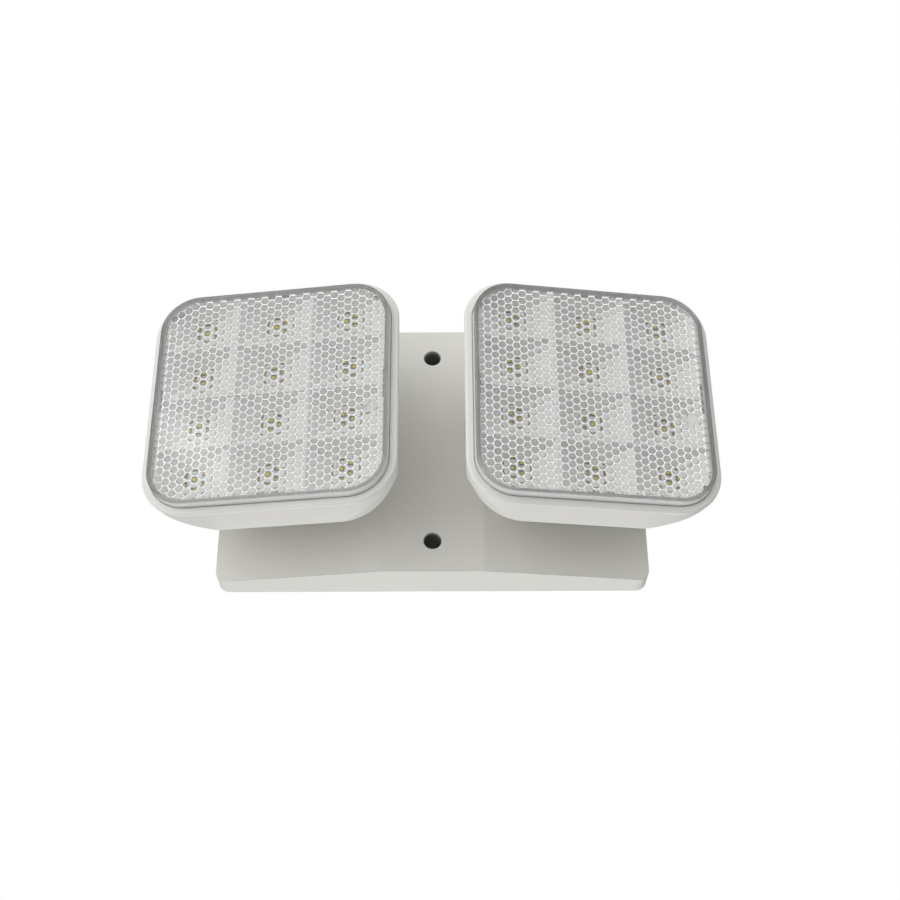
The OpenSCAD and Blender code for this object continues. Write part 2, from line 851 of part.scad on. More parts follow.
swivel_base(-1);  // left_swivel_base
wave_washer(-1);  // left_wave_washer
stop_washer(-1);  // left_stop_washer
swivel_nut(-1);  // left_swivel_nut
tilt_screw(-1);  // left_tilt_screw
tilt_nut(-1);  // left_tilt_nut
friction_washers(-1);  // left_friction_washers
head_housing(-1);  // left_head_housing
lens(-1);  // left_lens
reflector(-1);  // left_reflector
led_board(-1);  // left_led_board
leds(-1);  // left_leds
board_screws(-1);  // left_board_screws
lead_connector(-1);  // left_lead_connector

swivel_base(1);  // right_swivel_base
wave_washer(1);  // right_wave_washer
stop_washer(1);  // right_stop_washer
swivel_nut(1);  // right_swivel_nut
tilt_screw(1);  // right_tilt_screw
tilt_nut(1);  // right_tilt_nut
friction_washers(1);  // right_friction_washers
head_housing(1);  // right_head_housing
lens(1);  // right_lens
reflector(1);  // right_reflector
led_board(1);  // right_led_board
leds(1);  // right_leds
board_screws(1);  // right_board_screws
lead_connector(1);  // right_lead_connector
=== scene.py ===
# Looks of the double remote lamp head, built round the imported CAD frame.
# The scene is in metres, and MM turns the millimetres of the named sizes into them.
# Each head and swivel has a local frame on its wing: x along the wing, y up, z out of its face.
import math

import bpy
from mathutils import Matrix, Vector


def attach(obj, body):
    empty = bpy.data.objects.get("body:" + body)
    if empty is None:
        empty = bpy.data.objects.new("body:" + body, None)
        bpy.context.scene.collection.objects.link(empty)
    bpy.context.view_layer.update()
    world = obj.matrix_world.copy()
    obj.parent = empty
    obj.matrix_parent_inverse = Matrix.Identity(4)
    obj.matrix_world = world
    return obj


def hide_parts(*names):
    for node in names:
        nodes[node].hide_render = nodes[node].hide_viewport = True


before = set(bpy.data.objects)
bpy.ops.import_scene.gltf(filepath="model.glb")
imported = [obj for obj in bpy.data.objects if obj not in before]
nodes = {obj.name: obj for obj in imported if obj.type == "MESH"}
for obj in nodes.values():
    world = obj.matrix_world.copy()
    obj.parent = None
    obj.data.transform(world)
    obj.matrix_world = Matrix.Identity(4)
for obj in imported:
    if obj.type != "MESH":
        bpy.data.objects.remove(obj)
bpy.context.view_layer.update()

bpy.context.scene.view_settings.view_transform = "Standard"
MM = 0.001
SIDES = {"left": -1, "right": 1}

# Sizes of the CAD model, in millimetres
CANOPY_D, CANOPY_END_D, FLAT_HALF, WING_W = 19.6, 10.0, 20.0, 64.5
SLOPE = math.atan((CANOPY_D - CANOPY_END_D) / WING_W)
WELL_AT, WELL_R = 41.65, 3.5
SWIVEL_X = 53.2
SWIVEL_Y = CANOPY_D - (SWIVEL_X - FLAT_HALF) * math.tan(SLOPE)
CORNER_AT = 30.0
FRONT_Z, INNER_Z, SKIRT_Z = 50.6, 48.6, 43.2
LENS_HALF, EDGE_R, SKIRT_HALF = 45.0, 1.2, 43.2
TAB_HALF, TAB_T, TAB_W, TAB_LEN, CATCH_T, CATCH_H = 44.09, 1.4, 11.0, 5.2, 0.7, 1.6
BOARD_Z = 37.6
LED_X = [-28.667, 0.0, 28.667]
LED_Y = [-32.25, -10.75, 10.75, 32.25]

# Painted shade in the screw wells: how far it reaches round the bores, and the depths where it begins and is
# full
WELL_EDGE, WELL_PALE, WELL_DARK = 0.1, 0.3, 3.0

# Soft foot of the lens's skirt, the gap over its tabs, and the steps of its rolled edge and corners
FOOT_SOFT, TAB_GAP = 0.15, 0.02
EDGE_STEPS, CORNER_STEPS = 6, 12

# LED package: its body, the pool of phosphor in its top, and the pads at its sides
LED_HALF, LED_TOP, LED_SOFT, LED_CORNER, LED_CORNER_STEPS = 2.35, 0.56, 0.08, 0.25, 3
POOL_W, POOL_H, POOL_SLOPE, POOL_FLOOR, POOL_FACE = 1.95, 1.55, 0.12, 0.44, 0.45
POOL_RISE, POOL_LEAN, POOL_STEPS = 0.2, 0.3, 6
PAD_HALF, PAD_TOP, PAD_SOFT = 0.2, 0.12, 0.04

# Wave washer
WAVE_IN, WAVE_OUT, WAVE_T, WAVE_TOTAL, WAVE_Z = 9.2, 12.6, 0.34, 0.9, -4.55
WAVES, WAVE_STEPS = 3, 96

# Thread on the swivel stems, in metres
THREAD_PITCH, THREAD_DEPTH, THREAD_FROM = 0.0012, 0.0002, -0.005

# Honeycomb of the lens: lenslets HEX_AF apart and of radius HEX_R, with their peaks HEX_LOW below the
# middles of their cells, and with the valleys between them HEX_BASE inside the sheet
HEX_AF = 3.17
HEX_SIDE = HEX_AF / math.sqrt(3)
HEX_R = 2.2
HEX_LOW = 0.15
HEX_BASE = 0.4
HEX_RINGS = 4
# Gate mark: a flat disc whose edge takes in the points up to GATE_BLEND off it
GATE_AT, GATE_R, GATE_H, GATE_BLEND = (38.0, -10.0), 2.2, 0.3, 0.4
# The least distance, double area and step that count
NEAR, SLIVER, LEAST_STEP = 1e-6, 1e-7, 1e-4
LENS_IOR = 1.57


def wing_matrix(side):
    """From a wing's local frame in millimetres to the scene."""
    c, s = math.cos(SLOPE), math.sin(SLOPE)
    return Matrix((
        (c * MM, 0, side * s * MM, side * SWIVEL_X * MM),
        (side * s * MM, 0, -c * MM, -SWIVEL_Y * MM),
        (0, MM, 0, 0),
        (0, 0, 0, 1),
    ))


def between_rings(rings, count):
    """Faces between closed rings of count points each, one ring after the other."""
    faces = []
    for r in range(rings - 1):
        for i in range(count):
            j = (i + 1) % count
            faces.append((r * count + i, r * count + j, (r + 1) * count + j, (r + 1) * count + i))
    return faces


class Sheet:
    """Vertices with their own normals, and faces with a material number."""

    def __init__(self):
        self.co, self.no, self.faces, self.mats = [], [], [], []

    def add(self, points, normals, faces, mat=0):
        first = len(self.co)
        self.co += [tuple(p) for p in points]
        self.no += [tuple(n) for n in normals]
        self.faces += [tuple(first + i for i in f) for f in faces]
        self.mats += [mat] * len(faces)

    def flat(self, points, faces, mat=0):
        """Faces that share no normals."""
        for f in faces:
            p = [Vector(points[i]) for i in f]
            n = sum(((p[i] - p[0]).cross(p[i + 1] - p[0]) for i in range(1, len(p) - 1)), Vector())
            self.add(p, [n.normalized()] * len(p), [range(len(p))], mat)

    def box(self, lo, hi, soft, mat=0):
        """A box whose top and upright edges are chamfered."""
        (x0, y0, z0), (x1, y1, z1) = lo, hi
        points = []
        for z, d in ((z0, 0.0), (z1 - soft, 0.0), (z1, soft)):
            points += [
                (x0 + d, y0 + d + soft, z), (x0 + d + soft, y0 + d, z),
                (x1 - d - soft, y0 + d, z), (x1 - d, y0 + d + soft, z),
                (x1 - d, y1 - d - soft, z), (x1 - d - soft, y1 - d, z),
                (x0 + d + soft, y1 - d, z), (x0 + d, y1 - d - soft, z),
            ]
        caps = [tuple(range(7, -1, -1)), tuple(range(16, 24))]
        self.flat(points, caps + between_rings(3, 8), mat)

    def make(self, name, matrix, mats):
        mesh = bpy.data.meshes.new(name)
        mesh.from_pydata(self.co, [], self.faces)
        for m in mats:
            mesh.materials.append(m)
        mesh.polygons.foreach_set("material_index", self.mats)
        mesh.polygons.foreach_set("use_smooth", [True] * len(self.faces))
        mesh.normals_split_custom_set_from_vertices(self.no)
        mesh.transform(matrix)
        mesh.update()
        obj = bpy.data.objects.new(name, mesh)
        bpy.context.scene.collection.objects.link(obj)
        return obj


# Shader helpers

def new_material(name):
    """A new material, and the net of its empty node tree."""
    mat = bpy.data.materials.new(name)
    mat.use_nodes = True
    mat.node_tree.nodes.clear()
    return mat, Net(mat.node_tree)


class Net:
    """Short ways to add nodes to a shader tree."""

    def __init__(self, tree):
        self.tree = tree

    def node(self, kind, **values):
        n = self.tree.nodes.new(kind)
        for k, v in values.items():
            setattr(n, k, v)
        return n

    def plug(self, socket, value):
        """Links an input, or gives it a constant."""
        if isinstance(value, bpy.types.NodeSocket):
            self.tree.links.new(value, socket)
        else:
            socket.default_value = value

    def set(self, n, **inputs):
        for k, v in inputs.items():
            self.plug(n.inputs[k.replace("_", " ")], v)

    def math(self, op, a, b=None):
        n = self.node("ShaderNodeMath", operation=op)
        self.plug(n.inputs[0], a)
        if b is not None:
            self.plug(n.inputs[1], b)
        return n.outputs[0]

    def dot(self, vector, direction):
        n = self.node("ShaderNodeVectorMath", operation="DOT_PRODUCT")
        self.plug(n.inputs[0], vector)
        self.plug(n.inputs[1], direction)
        return n.outputs["Value"]

    def noise(self, scale, detail=3.0, rough=0.5):
        n = self.node("ShaderNodeTexNoise")
        self.set(n, Scale=scale, Detail=detail, Roughness=rough, Vector=self.coords())
        return n.outputs["Fac"]

    def coords(self):
        if not hasattr(self, "_coords"):
            self._coords = self.node("ShaderNodeTexCoord").outputs["Object"]
        return self._coords

    def mix(self, fac, a, b):
        """A mix of two colours, which are inputs 6 and 7 and output 2 of the node."""
        n = self.node("ShaderNodeMix", data_type="RGBA")
        for i, v in ((0, fac), (6, a), (7, b)):
            self.plug(n.inputs[i], v)
        return n.outputs[2]

    def blend(self, fac, a, b):
        """A mix of the shaders of two nodes."""
        n = self.node("ShaderNodeMixShader")
        for i, v in enumerate((fac, a.outputs[0], b.outputs[0])):
            self.plug(n.inputs[i], v)
        return n.outputs[0]

    def ramp(self, fac, low, high, to_low=0.0, to_high=1.0):
        n = self.node("ShaderNodeMapRange", clamp=True, interpolation_type="SMOOTHSTEP")
        self.set(n, From_Min=low, From_Max=high, To_Min=to_low, To_Max=to_high, Value=fac)
        return n.outputs[0]

    def bevel(self, radius):
        n = self.node("ShaderNodeBevel", samples=4)
        self.set(n, Radius=radius)
        return n.outputs[0]

    def bump(self, height, distance, normal, strength):
        n = self.node("ShaderNodeBump")
        self.set(n, Strength=strength, Distance=distance, Height=height)
        if normal is not None:
            self.plug(n.inputs["Normal"], normal)
        return n.outputs[0]

    def out(self, shader):
        n = self.node("ShaderNodeOutputMaterial")
        self.set(n, Surface=shader)


def srgb(r, g, b):
    """A colour of the screen, 0 to 255, as a linear one."""
    def lin(v):
        v /= 255
        return v / 12.92 if v <= 0.04045 else ((v + 0.055) / 1.055) ** 2.4
    return (lin(r), lin(g), lin(b), 1.0)


def shade(colour, f):
    """The colour times f, no lighter than white."""
    return tuple(min(1.0, c * f) for c in colour[:3]) + (1.0,)


def plastic(name, colour, rough, edge=0.0004, grain=0.00002, specular=0.45, extra=None, tint=None):
    """Moulded plastic: soft edges, spark-eroded grain, slow waviness and a faint change of colour.

    tint changes the colour and extra the normal of one piece.
    """
    mat, n = new_material(name)
    slow = n.noise(22.0, 2.0)
    fine = n.noise(2600.0, 2.0, 0.6)
    wave = n.noise(120.0, 1.0)
    tone = n.ramp(slow, 0.3, 0.7)
    base = n.mix(tone, shade(colour, 0.985), shade(colour, 1.01))
    if tint:
        base = tint(n, base)
    normal = n.bevel(edge) if edge else None
    normal = n.bump(wave, 0.00003, normal, 0.25)
    normal = n.bump(fine, grain, normal, 0.35)
    if extra:
        normal = extra(n, normal)
    bsdf = n.node("ShaderNodeBsdfPrincipled")
    n.set(bsdf, Base_Color=base, Roughness=n.ramp(fine, 0.2, 0.8, rough - 0.05, rough + 0.06))
    n.set(bsdf, Normal=normal, Specular_IOR_Level=specular)
    n.out(bsdf.outputs[0])
    return mat


def steel(name, colour, rough=0.28, turned=True):
    """Plated steel: fine marks, deeper where it is turned, a faint cloudy tint and dull patches."""
    mat, n = new_material(name)
    cloud = n.noise(260.0, 4.0, 0.6)
    marks = n.noise(4200.0, 2.0, 0.7)
    dull = shade((colour[0] * 1.02, colour[1], colour[2] * 0.94), 0.82)
    base = n.mix(n.ramp(cloud, 0.3, 0.7), colour, dull)
    normal = n.bump(marks, 0.00003, n.bevel(0.00025), 0.5 if turned else 0.2)
    bsdf = n.node("ShaderNodeBsdfPrincipled")
    n.set(bsdf, Base_Color=base, Roughness=n.ramp(cloud, 0.25, 0.75, rough, rough + 0.14))
    n.set(bsdf, Normal=normal, Metallic=1.0)
    n.out(bsdf.outputs[0])
    return mat


def stem_thread(side):
    """Thread on the stem under the wing, as rings of bump by height."""
    def extra(n, normal):
        s, c = math.sin(SLOPE), math.cos(SLOPE)
        face_at = (SWIVEL_X * s + SWIVEL_Y * c) * MM
        height = n.math("SUBTRACT", n.dot(n.coords(), (side * s, -c, 0)), face_at)
        rings = n.math("SINE", n.math("MULTIPLY", height, 2 * math.pi / THREAD_PITCH))
        below = n.math("LESS_THAN", height, THREAD_FROM)
        return n.bump(n.math("MULTIPLY", rings, below), THREAD_DEPTH, normal, 0.8)
    return extra


def well_painted_shade(n, base):
    """The bores of the screw wells, darkened with depth as painted shade."""
    xyz = n.node("ShaderNodeSeparateXYZ")
    n.plug(xyz.inputs[0], n.coords())
    x, y, z = xyz.outputs
    off = n.math("SUBTRACT", n.math("ABSOLUTE", z), WELL_AT * MM)
    radius = n.math("SQRT", n.math("ADD", n.math("MULTIPLY", x, x), n.math("MULTIPLY", off, off)))
    bore = n.math("LESS_THAN", radius, (WELL_R + WELL_EDGE) * MM)
    depth = n.math("ADD", y, CANOPY_D * MM)
    painted_shade_depth = n.ramp(depth, WELL_PALE * MM, WELL_DARK * MM)
    # Painted shade: inside the bores the colour darkens with depth towards a dark grey, where little light
    # gets in
    return n.mix(n.math("MULTIPLY", bore, painted_shade_depth), base, srgb(138, 136, 130))


def clear(name, tone, shadow_tone, rough=0.0, hazy=False):
    """Clear plastic that bends light for the eye and lets lamp light straight through."""
    mat, n = new_material(name)
    glass = n.node("ShaderNodeBsdfPrincipled")
    n.set(glass, Base_Color=tone, Roughness=rough, IOR=LENS_IOR, Transmission_Weight=1.0)
    if hazy:
        n.set(glass, Normal=n.bump(n.noise(90.0), 0.00002, None, 0.12))
    through = n.node("ShaderNodeBsdfTransparent")
    n.set(through, Color=shadow_tone)
    path = n.node("ShaderNodeLightPath")
    either = n.math("MAXIMUM", path.outputs["Is Shadow Ray"], path.outputs["Is Diffuse Ray"])
    n.out(n.blend(either, glass, through))
    return mat


def frosted(name):
    """Clear plastic with a matt moulded face, milky against the light."""
    mat, n = new_material(name)
    cloud = n.noise(500.0)
    bsdf = n.node("ShaderNodeBsdfPrincipled")
    base = n.mix(cloud, srgb(226, 227, 226), srgb(238, 239, 238))
    n.set(bsdf, Base_Color=base, Roughness=0.4, Normal=n.bump(cloud, 0.00003, None, 0.3))
    n.set(bsdf, Transmission_Weight=0.3, IOR=1.4)
    n.out(bsdf.outputs[0])
    return mat


def bright_tray(name):
    """Satin white tray."""
    mat, n = new_material(name)
    cloud = n.noise(300.0)
    bsdf = n.node("ShaderNodeBsdfPrincipled")
    base = n.mix(n.ramp(cloud, 0.3, 0.7), srgb(204, 204, 203), srgb(212, 212, 211))
    n.set(bsdf, Base_Color=base, Roughness=n.ramp(cloud, 0.3, 0.7, 0.26, 0.32))
    n.set(bsdf, Normal=n.bevel(0.0004), Specular_IOR_Level=0.6)
    n.out(bsdf.outputs[0])
    return mat


def board_skin(name):
    """Dark green board with copper tracks under the mask."""
    mat, n = new_material(name)
    brick = n.node("ShaderNodeTexBrick", offset=0.37)
    n.set(brick, Scale=130.0, Mortar_Size=0.045, Brick_Width=0.9, Row_Height=0.42, Vector=n.coords())
    track = brick.outputs["Fac"]
    base = n.mix(track, srgb(30, 36, 24), srgb(52, 58, 36))
    bsdf = n.node("ShaderNodeBsdfPrincipled")
    n.set(bsdf, Base_Color=base, Roughness=0.3, Normal=n.bump(track, 0.00004, n.bevel(0.0002), 0.5))
    n.out(bsdf.outputs[0])
    return mat


def phosphor(name):
    """Unlit LED phosphor: grainy yellow under a clear resin."""
    mat, n = new_material(name)
    grain = n.noise(9000.0, 2.0, 0.7)
    bsdf = n.node("ShaderNodeBsdfPrincipled")
    base = n.mix(n.ramp(grain, 0.3, 0.7), srgb(182, 168, 26), srgb(200, 186, 40))
    n.set(bsdf, Base_Color=base, Roughness=0.35, Coat_Weight=0.2, Coat_Roughness=0.08)
    n.out(bsdf.outputs[0])
    return mat


# Materials
warm_white = srgb(223, 222, 217)
# The canopy takes the painted shade of its screw wells
m_canopy = plastic("canopy_plastic", warm_white, rough=0.46, edge=0.0005, tint=well_painted_shade)
m_housing = plastic("housing_plastic", srgb(224, 223, 219), rough=0.4, edge=0.0005)
m_swivel = {
    side_name: plastic(f"{side_name}_swivel_plastic", warm_white, rough=0.42, extra=stem_thread(side))
    for side_name, side in SIDES.items()
}
m_steel = steel("zinc_steel", srgb(196, 198, 200))
m_spring = steel("spring_steel", srgb(150, 152, 156), rough=0.22, turned=False)
m_fibre = plastic("friction_fibre", srgb(58, 54, 50), rough=0.75, edge=0.0002, grain=0.00006, specular=0.2)
m_lens = clear("clear_lens", (0.985, 0.988, 0.985, 1), (0.93, 0.935, 0.93, 1), rough=0.06, hazy=True)
m_comb = clear("clear_lens_comb", (0.99, 0.99, 0.988, 1), (0.96, 0.96, 0.955, 1))
m_skirt = frosted("clear_lens_skirt")
m_tray = bright_tray("reflector_white")
m_board = board_skin("led_board")
m_ceramic = plastic("led_ceramic", srgb(42, 40, 22), rough=0.4, edge=0.0, grain=0.000004)
m_phosphor = phosphor("led_phosphor")
m_solder = steel("solder", srgb(120, 120, 112), rough=0.3, turned=False)
m_connector = plastic("connector_plastic", srgb(226, 222, 206), rough=0.4, edge=0.0002)


def finish_node(name, mat):
    """Gives the mesh of a CAD node one material."""
    mesh = nodes[name].data
    mesh.materials.clear()
    mesh.materials.append(mat)
    mesh.polygons.foreach_set("material_index", [0] * len(mesh.polygons))


finish_node("canopy", m_canopy)
for side_name in SIDES:
    for part, mat in (
        ("swivel_base", m_swivel[side_name]), ("wave_washer", m_spring), ("stop_washer", m_steel),
        ("swivel_nut", m_steel), ("tilt_screw", m_steel), ("tilt_nut", m_steel),
        ("friction_washers", m_fibre), ("head_housing", m_housing), ("lens", m_lens),
        ("reflector", m_tray), ("led_board", m_board), ("leds", m_phosphor),
        ("board_screws", m_steel), ("lead_connector", m_connector),
    ):
        finish_node(f"{side_name}_{part}", mat)


# Lens: a flat front with a rolled edge, a skirt with snap tabs, and a honeycomb of lenslets inside

QUARTERS = [(1, 1), (-1, 1), (-1, -1), (1, -1)]


def square_loop(half):
    """Points and outward directions of a square with round corners, going round with x to y."""
    points, ways = [], []
    r = half - CORNER_AT
    for q in range(4):
        sx, sy = QUARTERS[q]
        for k in range(CORNER_STEPS + 1):
            a = math.pi / 2 * (q + k / CORNER_STEPS)
            points.append((sx * CORNER_AT + r * math.cos(a), sy * CORNER_AT + r * math.sin(a)))
            ways.append((math.cos(a), math.sin(a)))
    return points, ways


def band(sheet, profile, mat):
    """Wall between loops. profile: (half width, height, outward share, upward share)."""
    points, normals = [], []
    for half, z, out, up in profile:
        pts, ways = square_loop(half)
        points += [(x, y, z) for x, y in pts]
        normals += [Vector((wx * out, wy * out, up)).normalized() for wx, wy in ways]
    faces = between_rings(len(profile), 4 * (CORNER_STEPS + 1))
    sheet.add(points, normals, faces, mat)


def inside(x, y, half):
    """Nearest point of the rounded square to x, y, and whether x, y is inside it."""
    r = half - CORNER_AT
    ax, ay = abs(x), abs(y)
    if ax <= CORNER_AT or ay <= CORNER_AT:
        cx, cy = min(ax, half), min(ay, half)
        return (math.copysign(cx, x), math.copysign(cy, y)), ax < half - NEAR and ay < half - NEAR
    d = math.hypot(ax - CORNER_AT, ay - CORNER_AT)
    if d < r - NEAR:
        return (x, y), True
    f = r / d
    cx, cy = CORNER_AT + (ax - CORNER_AT) * f, CORNER_AT + (ay - CORNER_AT) * f
    return (math.copysign(cx, x), math.copysign(cy, y)), False


def hex_pattern(rings):
    """Points of one lenslet, ring by ring, and its triangles."""
    points = [(0.0, 0.0)]
    for k in range(1, rings + 1):
        for c in range(6):
            a0, a1 = math.radians(60 * c), math.radians(60 * (c + 1))
            for i in range(k):
                f = i / k
                r = HEX_SIDE * k / rings
                points.append((
                    r * (math.cos(a0) * (1 - f) + math.cos(a1) * f),
                    r * (math.sin(a0) * (1 - f) + math.sin(a1) * f),
                ))
    faces = []
    first = [0] + [1 + 3 * k * (k - 1) for k in range(1, rings + 1)]
    for k in range(1, rings + 1):
        n_out, n_in = 6 * k, max(1, 6 * (k - 1))
        for c in range(6):
            for i in range(k):
                o0 = first[k] + (c * k + i) % n_out
                o1 = first[k] + (c * k + i + 1) % n_out
                i0 = first[k - 1] + (c * (k - 1) + i) % n_in if k > 1 else 0
                faces.append((i0, o1, o0))
                if i < k - 1:
                    i1 = first[k - 1] + (c * (k - 1) + i + 1) % n_in
                    faces.append((i0, i1, o1))
    return points, faces


def lenslet(px, py):
    """Height of a lenslet over the valleys, and its normal. Its peak lies below the middle of its cell."""
    def sag(x, y):
        rr = x * x + y * y
        root = math.sqrt(1 - rr / HEX_R ** 2)
        return rr / (HEX_R * (1 + root)), root
    y = py + HEX_LOW
    deep, root = sag(px, y)
    height = sag(HEX_SIDE / 2, HEX_AF / 2 + HEX_LOW)[0] - deep
    return height, Vector((px / (HEX_R * root), y / (HEX_R * root), -1.0)).normalized()


def honeycomb(sheet, half, z, mat):
    """Lenslets over a rounded square, with the steps between them and the disc of the gate mark."""
    pattern, faces = hex_pattern(HEX_RINGS)
    step = 1.5 * HEX_SIDE
    columns = 2 * math.ceil(half / step) + 2
    rows = 2 * math.ceil(half / HEX_AF) + 3
    edge_from = len(pattern) - 6 * HEX_RINGS
    below = [(-step, -HEX_AF / 2), (0.0, -HEX_AF), (step, -HEX_AF / 2)]

    def place(x, y, px, py):
        """Point and normal at x, y, which the lenslet has at px, py, and whether it is in the square."""
        (nx, ny), within = inside(x, y, half)
        height, normal = lenslet(px, py)
        gx, gy = x - GATE_AT[0], y - GATE_AT[1]
        g = math.hypot(gx, gy)
        if g < GATE_R + GATE_BLEND:
            height, normal = GATE_H, Vector((0.0, 0.0, -1.0))
            if g > GATE_R - GATE_BLEND:
                nx, ny = GATE_AT[0] + gx / g * GATE_R, GATE_AT[1] + gy / g * GATE_R
        if not within:
            height, normal = 0.0, Vector((0.0, 0.0, -1.0))
        return (nx, ny, z + HEX_BASE - height if within else z), tuple(normal), within

    for i in range(columns):
        for j in range(rows):
            cx = (i - (columns - 1) / 2) * step
            cy = (j - (rows - 1) / 2 + ((i + 1) % 2) / 2 - 0.25) * HEX_AF
            own = [place(cx + px, cy + py, px, py) for px, py in pattern]
            if not any(o[2] for o in own):
                continue
            points, normals = [o[0] for o in own], [o[1] for o in own]
            tris = []
            for f in faces:
                (x0, y0, _), (x1, y1, _), (x2, y2, _) = (points[k] for k in f)
                if abs((x1 - x0) * (y2 - y0) - (x2 - x0) * (y1 - y0)) > SLIVER:
                    tris.append(f)
            sheet.add(points, normals, tris, mat)
            # Steps down to the three lenslets below
            for e, (dx, dy) in enumerate(below):
                ring = [edge_from + ((3 + e) * HEX_RINGS + k) % (6 * HEX_RINGS) for k in range(HEX_RINGS + 1)]
                high = [points[k] for k in ring]
                edge = [pattern[k] for k in ring]
                low = [place(cx + px, cy + py, px - dx, py - dy)[0] for px, py in edge]
                for k in range(HEX_RINGS):
                    quad = [high[k], high[k + 1], low[k + 1], low[k]]
                    if max(abs(high[m][2] - low[m][2]) for m in (k, k + 1)) > LEAST_STEP:
                        sheet.flat(quad, [(0, 1, 2, 3)], mat)


def add_tabs(sheet, mat):
    """A snap tab under the middle of each side of the skirt, with its catch on the outside."""
    top = SKIRT_Z - TAB_GAP
    low = SKIRT_Z - TAB_LEN
    outline = [
        (TAB_HALF - TAB_T, top), (TAB_HALF - TAB_T, low), (TAB_HALF, low),
        (TAB_HALF + CATCH_T, low + CATCH_H), (TAB_HALF, low + CATCH_H), (TAB_HALF, top),
    ]
    for turn in range(4):
        c, s = (1, 0, -1, 0)[turn], (0, 1, 0, -1)[turn]
        points = []
        for y in (-TAB_W / 2, TAB_W / 2):
            points += [(x * c - y * s, x * s + y * c, z) for x, z in outline]
        k = len(outline)
        faces = [tuple(range(k)), tuple(range(2 * k - 1, k - 1, -1))]
        faces += [(i, i + k, (i + 1) % k + k, (i + 1) % k) for i in range(k)]
        sheet.flat(points, faces, mat)


def make_lens(name, side):
    front, comb, skirt = range(3)
    sheet = Sheet()
    face, _ = square_loop(LENS_HALF - EDGE_R)
    sheet.add([(x, y, FRONT_Z) for x, y in face], [(0, 0, 1)] * len(face), [tuple(range(len(face)))], front)
    rim = []
    for k in range(EDGE_STEPS, -1, -1):
        a = math.pi / 2 * k / EDGE_STEPS
        out, up = math.sin(a), math.cos(a)
        rim.append((LENS_HALF - EDGE_R + EDGE_R * out, FRONT_Z - EDGE_R + EDGE_R * up, out, up))
    band(sheet, rim, front)
    foot_half, foot_z = LENS_HALF - FOOT_SOFT, SKIRT_Z + FOOT_SOFT
    band(sheet, [(LENS_HALF, foot_z, 1, 0), (LENS_HALF, FRONT_Z - EDGE_R, 1, 0)], skirt)
    band(sheet, [(foot_half, SKIRT_Z, 1, -1), (LENS_HALF, foot_z, 1, -1)], skirt)
    band(sheet, [(SKIRT_HALF, SKIRT_Z, 0, -1), (foot_half, SKIRT_Z, 0, -1)], skirt)
    band(sheet, [(SKIRT_HALF, INNER_Z, -1, 0), (SKIRT_HALF, SKIRT_Z, -1, 0)], skirt)
    honeycomb(sheet, SKIRT_HALF, INNER_Z, comb)
    add_tabs(sheet, skirt)
    return sheet.make(name, wing_matrix(side), [m_lens, m_comb, m_skirt])


def package_loop(cx, cy, wide, tall, z):
    """A rectangle with round corners round cx, cy."""
    r = LED_CORNER
    loop = []
    for q in range(4):
        sx, sy = QUARTERS[q]
        for k in range(LED_CORNER_STEPS + 1):
            a = math.pi / 2 * (q + k / LED_CORNER_STEPS)
            x, y = sx * (wide - r) + r * math.cos(a), sy * (tall - r) + r * math.sin(a)
            loop.append((cx + x, cy + y, z))
    return loop


def add_package(sheet, cx, cy):
    """An LED package: a ceramic body, a domed pool of phosphor in its top, and a solder pad at each side."""
    body, pool, pad = range(3)
    rings = [
        (LED_HALF, LED_HALF, 0.0), (LED_HALF, LED_HALF, LED_TOP - LED_SOFT),
        (LED_HALF - LED_SOFT, LED_HALF - LED_SOFT, LED_TOP),
        (POOL_W + POOL_SLOPE, POOL_H + POOL_SLOPE, LED_TOP), (POOL_W, POOL_H, POOL_FLOOR),
    ]
    loops = [package_loop(cx, cy, wide, tall, BOARD_Z + h) for wide, tall, h in rings]
    for lower, upper in zip(loops, loops[1:]):
        sheet.flat(lower + upper, between_rings(2, len(lower)), body)
    points, normals, faces = [], [], []
    for u in range(POOL_STEPS + 1):
        for v in range(POOL_STEPS + 1):
            x, y = 2 * POOL_W * (u / POOL_STEPS - 0.5), 2 * POOL_H * (v / POOL_STEPS - 0.5)
            rise = POOL_RISE * (1 - (x / POOL_W) ** 2) * (1 - (y / POOL_H) ** 2)
            points.append((cx + x, cy + y, BOARD_Z + POOL_FACE + rise))
            normals.append(Vector((POOL_LEAN * x, POOL_LEAN * y, 1)).normalized())
            if u < POOL_STEPS and v < POOL_STEPS:
                here, beyond = u * (POOL_STEPS + 1) + v, (u + 1) * (POOL_STEPS + 1) + v
                faces.append((here, beyond, beyond + 1, here + 1))
    sheet.add(points, normals, faces, pool)
    for s in (-1, 1):
        x = cx + s * (LED_HALF + PAD_HALF)
        near, far = (x - PAD_HALF, cy - POOL_H, BOARD_Z), (x + PAD_HALF, cy + POOL_H, BOARD_Z + PAD_TOP)
        sheet.box(near, far, PAD_SOFT, pad)


def make_leds(name, side):
    sheet = Sheet()
    for cx in LED_X:
        for cy in LED_Y:
            add_package(sheet, cx, cy)
    return sheet.make(name, wing_matrix(side), [m_ceramic, m_phosphor, m_solder])


